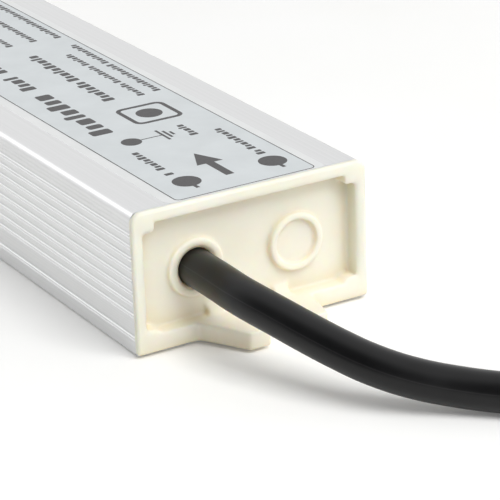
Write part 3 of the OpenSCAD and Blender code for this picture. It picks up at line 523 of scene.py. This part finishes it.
def capField(s, x, y, z):  # below zero inside the moulding, with y growing into the case
    outline = roundedBox(x, z, s["x"], s["foot"], s["top"], s["footRound"], s["topRound"])
    flange = np.maximum(drawnOut(outline, -s["flange"] - y, s["rimRound"]), y - s["seat"])
    outline = roundedBox(x, z, s["plugX"], s["plugFoot"], s["plugTop"], s["plugRound"], s["plugRound"])
    middle = (s["plugDepth"] - s["flange"] / 2) / 2
    plug = drawnOut(outline, abs(y - middle) - middle - s["flange"] / 2, s["plugRound"])
    body = np.minimum(flange, plug)

    # recess with blocks in its corners, its rim rounder down the sides
    tray = roundedBox(x, z, s["trayX"], s["ledge"], s["trayTop"], s["plugRound"], s["plugRound"])
    wide, high, edge = s["topBlock"]
    topBlock = easedMeet(s["trayX"] - wide - abs(x), s["trayTop"] - high - z, edge)
    wide, high, edge = s["footBlock"]
    footBlock = easedMeet(s["trayX"] - wide - abs(x), z - s["ledge"] - high, edge)
    lip, sideLip = s["lipRound"]
    toSide = np.interp(abs(x), (s["trayX"] - wide, s["trayX"] - s["crease"]), (0, 1))
    lip = lip + (sideLip - lip) * toSide * np.interp(y, (-s["flange"], 0), (1, 0))
    tray = easedCut(easedCut(tray, topBlock, lip), footBlock, lip)
    body = easedCut(body, drawnOut(tray, y - s["floor"], s["crease"]), lip)

    # two bosses, their cups, the lead's one tighter and shallower, and the lead's hole
    fromBoss = np.hypot(abs(x) - s["bossX"], z - s["bossZ"])
    boss = drawnOut(fromBoss - s["bossR"], s["bossTop"] - y, s["bossRound"])
    boss = np.maximum(boss, y - s["plugDepth"] + s["flange"])
    body = easedJoin(body, boss, s["bossFillet"])
    cup, cupFloor = np.where(x < 0, *s["cup"]), np.where(x < 0, *s["cupFloor"])
    body = easedCut(body, drawnOut(fromBoss - cup, y - cupFloor, s["cupRound"]), s["bossRound"])
    body = np.maximum(body, s["hole"] - np.hypot(x + s["bossX"], z - s["bossZ"]))

    # fork with leaning sides and an open slot, its root flared into the ledge
    tip, root, face = -s["forkReach"], s["forkRoot"], -s["flange"]
    nearSide = leaning(x, y, (-s["tipNear"], tip), (-root, face))
    farSide = leaning(x, y, (root, face), (s["tipFar"], tip))
    fork = easedMeet(easedMeet(nearSide, farSide, s["tipRound"]), tip - y, s["tipRound"])
    fork = easedCut(fork, np.hypot(x, np.maximum(y + s["slotMiddle"], 0)) - s["slot"], s["slotRound"])
    fork = easedJoin(fork, face - y, s["rootFillet"])
    fork = np.maximum(np.maximum(fork, y), abs(x) - root - 2 * s["rootFillet"])
    halfThick = (s["ledge"] - s["foot"]) / 2
    upAndDown = abs(z - s["foot"] - halfThick) - halfThick
    body = np.minimum(body, drawnOut(fork, upAndDown, s["forkRound"]))

    # two gussets between the ledge and the recessed face
    slope = leaning(y, z, (s["floor"], s["ledge"] + s["gussetRise"]),
                    (s["floor"] - s["gussetRun"], s["ledge"]))
    gusset = easedMeet(abs(abs(x) - s["gusset"]) - s["gussetHalf"], -slope, s["gussetRound"])
    gusset = np.maximum(gusset, s["ledge"] - s["flange"] / 2 - z)
    return easedJoin(body, gusset, s["gussetRound"])


def buildCap(s):
    lows = np.array((-s["x"], -s["forkReach"], s["foot"])) - s["margin"]
    highs = np.array((s["x"], s["plugDepth"], s["top"])) + s["margin"]
    axes = [np.arange(low, high, s["cell"], dtype=np.float32) for low, high in zip(lows, highs)]
    field = capField(s, *np.ix_(*axes))
    band = s["band"] * s["cell"]  # the field is only kept this near the surface
    grid = openvdb.FloatGrid(band)
    grid.copyFromArray(np.clip(field, -band, band).astype(np.float32))
    points, triangles, quads = grid.convertToPolygons(isovalue=0.0, adaptivity=s["adaptivity"])
    places = points * s["cell"] + lows - (0, s["half"], 0)
    bm = bmesh.new()
    verts = [bm.verts.new(p) for p in places.tolist()]
    for face in triangles.tolist() + quads.tolist():
        bm.faces.new([verts[i] for i in face])
    return bm


ivory = mouldedAbs()
moulding = buildCap(capShape)
turned = moulding.copy()
bmesh.ops.rotate(turned, cent=(0, 0, 0), matrix=Matrix.Rotation(math.pi, 3, "Z"), verts=turned.verts)
makePiece("inputCap", moulding, [ivory], "input_end_cap", sharpAngle=180)
makePiece("outputCap", turned, [ivory], "output_end_cap", sharpAngle=180)
print("end caps moulded")


# label: foil film with a printed field, a fine frame line and plain marks: dots at the leads,
# blocks for lines of print; the marks are placed along it from the input end of the case
labelShape = {"halfWidth": 14.5, "end": 74.8, "round": 1.2, "edgeSlope": 0.06,
              "base": 24.0, "film": 24.06, "field": 24.075, "ink": 24.088, "tickLift": 0.001,  # heights
              "frame": (-12.6, 12.85, 74.6), "frameRound": 1.0, "frameLine": 0.16, "dotSides": 48,
              "dots": [(-7.05, 6.85, 2.35), (8.7, 6.85, 2.35),  # across, along, radius
                       (-5.4, 28.0, 1.75), (4.0, 39.1, 2.3)],
              "ticks": [(-7.0, 5.0, -6.9, 3.4, 0.65), (8.75, 5.0, 8.85, 3.4, 0.65),  # two ends and width
                        (-3.8, 28.0, 0.3, 28.0, 0.25), (0.45, 25.4, 0.45, 30.6, 0.45),
                        (1.35, 26.3, 1.35, 29.7, 0.45), (2.2, 27.2, 2.2, 28.8, 0.45)],
              "rows": [(-7.0, 1.5, 10.8, 12.0), (-7.0, 1.5, 13.6, 22.4),  # across, height, start and end
                       (9.8, 1.5, 10.6, 12.0), (9.8, 1.5, 13.6, 25.2), (5.6, 1.5, 25.0, 30.2),
                       (-5.4, 3.8, 34.0, 57.0), (-5.6, 2.8, 62.0, 70.0), (-5.6, 2.8, 73.5, 84.0),
                       (2.8, 2.2, 48.8, 59.6), (2.8, 2.2, 62.0, 78.0), (8.2, 1.4, 48.0, 55.0),
                       (8.2, 1.4, 56.6, 67.0), (8.2, 1.4, 68.6, 75.8), (11.6, 1.4, 48.6, 66.0),
                       (11.6, 1.4, 67.6, 81.0), (11.6, 1.4, 86.4, 112.0), (6.9, 1.4, 87.0, 104.0),
                       (1.9, 1.4, 86.8, 98.0)],
              "blocks": [(0.62, 1.0), (0.5, 0.74), (0.72, 0.74), (0.4, 1.0), (0.6, 0.74)],
              "blockGap": 0.24, "blockRound": 0.12, "blockSteps": 3,  # blocks in shares of a row's height
              "dotFrame": (-0.6, 8.6, 34.6, 43.6), "dotFrameLine": 0.8,
              "arrow": [(-0.6, 5.6), (0.9, 5.6), (0.9, 12.0), (2.5, 12.0), (0.15, 17.2), (-2.2, 12.0),
                        (-0.6, 12.0)]}
labelFinish = [labelFilm("labelFilmMetallised", "e2e4e4", "eaebeb"),
               labelFilm("labelFieldPrinted", "d2d7d9", "dadfe1"), screenInk()]
fieldIndex, inkIndex = 1, 2  # places in that list


def colourFaces(rings, index):  # gives every face on these rings one of the label's finishes
    for face in {face for ring in rings for vert in ring for face in vert.link_faces}:
        face.material_index = index


def flatShape(bm, outline, low, high, index):  # a thin closed layer of print
    rings = loft(bm, [[(x, y, z) for x, y in outline] for z in (low, high)])
    bm.faces.new(rings[0][::-1])
    bm.faces.new(rings[1])
    colourFaces(rings, index)


def inkLine(bm, outline, width, low, high):  # a printed line of even width along the inside of an outline
    inner = inset(outline, width)
    edges = ((outline, low), (outline, high), (inner, high), (inner, low))
    rings = loft(bm, [[(x, y, z) for x, y in edge] for edge, z in edges], closed=True)
    colourFaces(rings, inkIndex)


def inkRow(bm, s, x, tall, start, end):  # a line of print as a row of blocks, wide and narrow, tall and low
    count = 0
    while start < end:
        wide, high = (share * tall for share in s["blocks"][count % len(s["blocks"])])
        block = roundedSheet(x - high, x, start, start + wide, s["blockRound"] * tall, s["blockSteps"])
        flatShape(bm, block, s["field"], s["ink"], inkIndex)
        start += wide + s["blockGap"] * tall
        count += 1


def buildLabel(s):
    bm = bmesh.new()
    sheet = roundedSheet(-s["halfWidth"], s["halfWidth"], -s["end"], s["end"], s["round"])
    layers = ((0, s["base"]), (s["edgeSlope"], s["film"]))
    rings = loft(bm, [[(x, y, z) for x, y in inset(sheet, narrower)] for narrower, z in layers])
    bm.faces.new(rings[0][::-1])
    bm.faces.new(rings[1])
    x0, x1, frameEnd = s["frame"]
    frameLine = roundedSheet(x0, x1, -frameEnd, frameEnd, s["frameRound"])
    flatShape(bm, inset(frameLine, s["frameLine"]), s["film"], s["field"], fieldIndex)
    inkLine(bm, frameLine, s["frameLine"], s["film"], s["ink"])
    near = -caseShape["half"]
    for x, y, radius in s["dots"]:
        dot = arc(x, near + y, radius, 0, 360, s["dotSides"])[:-1]
        flatShape(bm, dot, s["field"], s["ink"], inkIndex)
    for ax, ay, bx, by, width in s["ticks"]:
        a, b = Vector((ax, near + ay)), Vector((bx, near + by))
        along = (b - a).normalized() * width / 2
        across = Vector((-along.y, along.x))
        tick = [a - across, b - across, b + across, a + across]
        flatShape(bm, tick, s["field"], s["ink"] + s["tickLift"], inkIndex)
    for x, tall, start, end in s["rows"]:
        inkRow(bm, s, x, tall, near + start, near + end)
    x0, x1, y0, y1 = s["dotFrame"]  # a plain frame round one of the dots
    dotFrame = roundedSheet(x0, x1, near + y0, near + y1, s["dotFrameLine"] * 2)
    inkLine(bm, dotFrame, s["dotFrameLine"], s["field"], s["ink"])
    flatShape(bm, [(x, near + y) for x, y in s["arrow"]], s["field"], s["ink"], inkIndex)
    return bm


makePiece("ratingLabel", buildLabel(labelShape), labelFinish, "label")
print("label laid")


# what the sealed case holds keeps its solids, each with its own finish:
# name, two colours, metallic, roughness and grain in mm
insideFinishes = {
    "sleeve_film": ("polyesterFilm", "e2dcc6", "ebe6d4", 0.0, 0.4, 2.0),
    "board_laminate": ("solderMaskLaminate", "2a6340", "33744b", 0.0, 0.35, 1.5),
    "potting_resin": ("siliconePotting", "343436", "3e3e40", 0.0, 0.55, 1.2),
    "moulded_black": ("epoxyMoulding", "222225", "2c2c2f", 0.0, 0.5, 0.3),
    "dipped_blue": ("dippedLacquerBlue", "2a5a9f", "3368b2", 0.0, 0.25, 1.0),
    "dipped_dark": ("dippedLacquerDark", "2a342e", "35403a", 0.0, 0.35, 1.0),
    "film_yellow": ("yellowBoxAndTape", "d0ad2a", "dcbc3e", 0.0, 0.4, 1.0),
    "ferrite": ("sinteredFerrite", "393c3f", "484b4e", 0.0, 0.6, 0.4),
    "enamelled_copper": ("enamelledCopperWire", "a8571f", "bd6c34", 1.0, 0.28, 0.6),
    "capacitor_sleeve": ("shrunkSleeve", "2a3a58", "344768", 0.0, 0.3, 2.0),
    "spreader_plate": ("rolledAluminium", "b4b7ba", "c0c3c6", 1.0, 0.4, 0.8),
    "screw_steel": ("zincPlatedSteel", "8a8c8f", "9c9ea1", 1.0, 0.35, 0.5),
    "bobbin_phenolic": ("phenolicMoulding", "332e27", "403a32", 0.0, 0.5, 0.6),
}
insideMaterials = {key: workshopFinish(*values) for key, values in insideFinishes.items()}
insideMaterials.update({"core_" + colour: leadFinish[colour] for colour in coreShape["routes"]})
for part in frame["record"]["subparts"]:
    node = frame["nodes"][part["node"]]
    if part["material_slot"] in insideMaterials and not node.hide_render:
        node.data.materials.clear()
        node.data.materials.append(insideMaterials[part["material_slot"]])
print("inside finishes given:", len(insideMaterials))


# pale floor under a wide soft ceiling lamp, a soft lamp at the right front and a small one at the back
# that edges catch; each lamp has its place and size in metres, watts and whether reflections show it
studio = {"floor": ("f7f7f5", "f9f9f8"), "floorSize": 6.0, "floorDrop": 0.05, "floorLift": 0.1,
          "surround": 0.36, "darkSide": (-0.81, -0.32, 0.49), "darkFade": (0.58, 0.88), "darkLevel": 0.0,
          "aim": (0.0, -0.08, 0.01),
          "lamps": [("overheadPanel", (0.12, -0.72, 1.02), 0.8, 11.2, False),
                    ("rightPanel", (0.9, -0.9, 0.4), 1.0, 3.6, False),
                    ("edgePanel", (-0.38, 0.75, 0.46), 0.38, 0.45, True)]}


# painted board, rolled: matt and nearly white, with a faint cloudiness from the roller
def paintedBoard(s):
    material, tree, shader = startMaterial("paintedBoardRolled", {
        "Roughness": 0.6, "Specular IOR Level": 0.2, "Emission Color": (1, 1, 1, 1)})
    place = addNode(tree, "ShaderNodeTexCoord")
    cloud = addNode(tree, "ShaderNodeTexNoise", {"Scale": 1 / (40 * mm), "Detail": 2},
                    {"Vector": place.outputs["Object"]})  # marks of the roller, 40 mm
    tint = addNode(tree, "ShaderNodeValToRGB", None, {"Fac": cloud.outputs["Fac"]})
    colourSteps(tint.color_ramp, list(zip((0.3, 0.7), s["floor"])))
    path = addNode(tree, "ShaderNodeLightPath")
    seen = addNode(tree, "ShaderNodeMath", {"operation": "MAXIMUM"},
                   {0: path.outputs["Is Camera Ray"], 1: path.outputs["Is Glossy Ray"]})
    lift = addNode(tree, "ShaderNodeMath", {"operation": "MULTIPLY", 1: s["floorLift"]},
                   {0: seen.outputs[0]})  # a little paler to the eye than as a light
    linkUp(tree, shader, {"Base Color": tint.outputs["Color"], "Emission Strength": lift.outputs[0]})
    return material


def layFloor(s):
    mesh = bpy.data.meshes.new("paleFloor")
    reach, low = s["floorSize"] / 2, -s["floorDrop"] * mm
    corners = [(-reach, -reach, low), (reach, -reach, low), (reach, reach, low), (-reach, reach, low)]
    mesh.from_pydata(corners, [], [(0, 1, 2, 3)])
    mesh.materials.append(paintedBoard(s))
    floor = bpy.data.objects.new("paleFloor", mesh)
    scene.collection.objects.link(floor)


# the surround is white where it is seen, dimmer as a light, and dark to one side in reflections
def whiteSurround(s):
    world = bpy.data.worlds.new("whiteSurround")
    world.use_nodes = True
    scene.world = world
    tree = world.node_tree
    ground = tree.nodes["Background"]
    ground.inputs["Color"].default_value = (1, 1, 1, 1)
    path = addNode(tree, "ShaderNodeLightPath")
    seen = addNode(tree, "ShaderNodeMath", {"operation": "MAXIMUM"},
                   {0: path.outputs["Is Camera Ray"], 1: path.outputs["Is Transmission Ray"]})
    place = addNode(tree, "ShaderNodeTexCoord")
    ahead = addNode(tree, "ShaderNodeVectorMath",
                    {"operation": "DOT_PRODUCT", 1: Vector(s["darkSide"]).normalized()},
                    {0: place.outputs["Generated"]})
    fadeStart, fadeEnd = s["darkFade"]
    mirrored = addNode(tree, "ShaderNodeMapRange", {"From Min": fadeStart, "From Max": fadeEnd,
                                                    "To Min": 1.0, "To Max": s["darkLevel"]},
                       {"Value": ahead.outputs["Value"]})
    glossy = addNode(tree, "ShaderNodeMix", {2: s["surround"]},
                     {0: path.outputs["Is Glossy Ray"], 3: mirrored.outputs[0]})
    level = addNode(tree, "ShaderNodeMix", {3: 1.0}, {0: seen.outputs[0], 2: glossy.outputs[0]})
    linkUp(tree, ground, {"Strength": level.outputs[0]})


def hangLamps(s):
    for name, place, size, watts, mirroredToo in s["lamps"]:
        data = bpy.data.lights.new(name, "AREA")
        data.shape, data.size, data.energy = "SQUARE", size, watts
        lamp = bpy.data.objects.new(name, data)
        lamp.location = place
        lamp.visible_glossy = mirroredToo
        lamp.rotation_euler = (Vector(s["aim"]) - Vector(place)).to_track_quat("-Z", "Y").to_euler()
        scene.collection.objects.link(lamp)


layFloor(studio)
whiteSurround(studio)
hangLamps(studio)
print("studio lit")

bpy.context.view_layer.update()
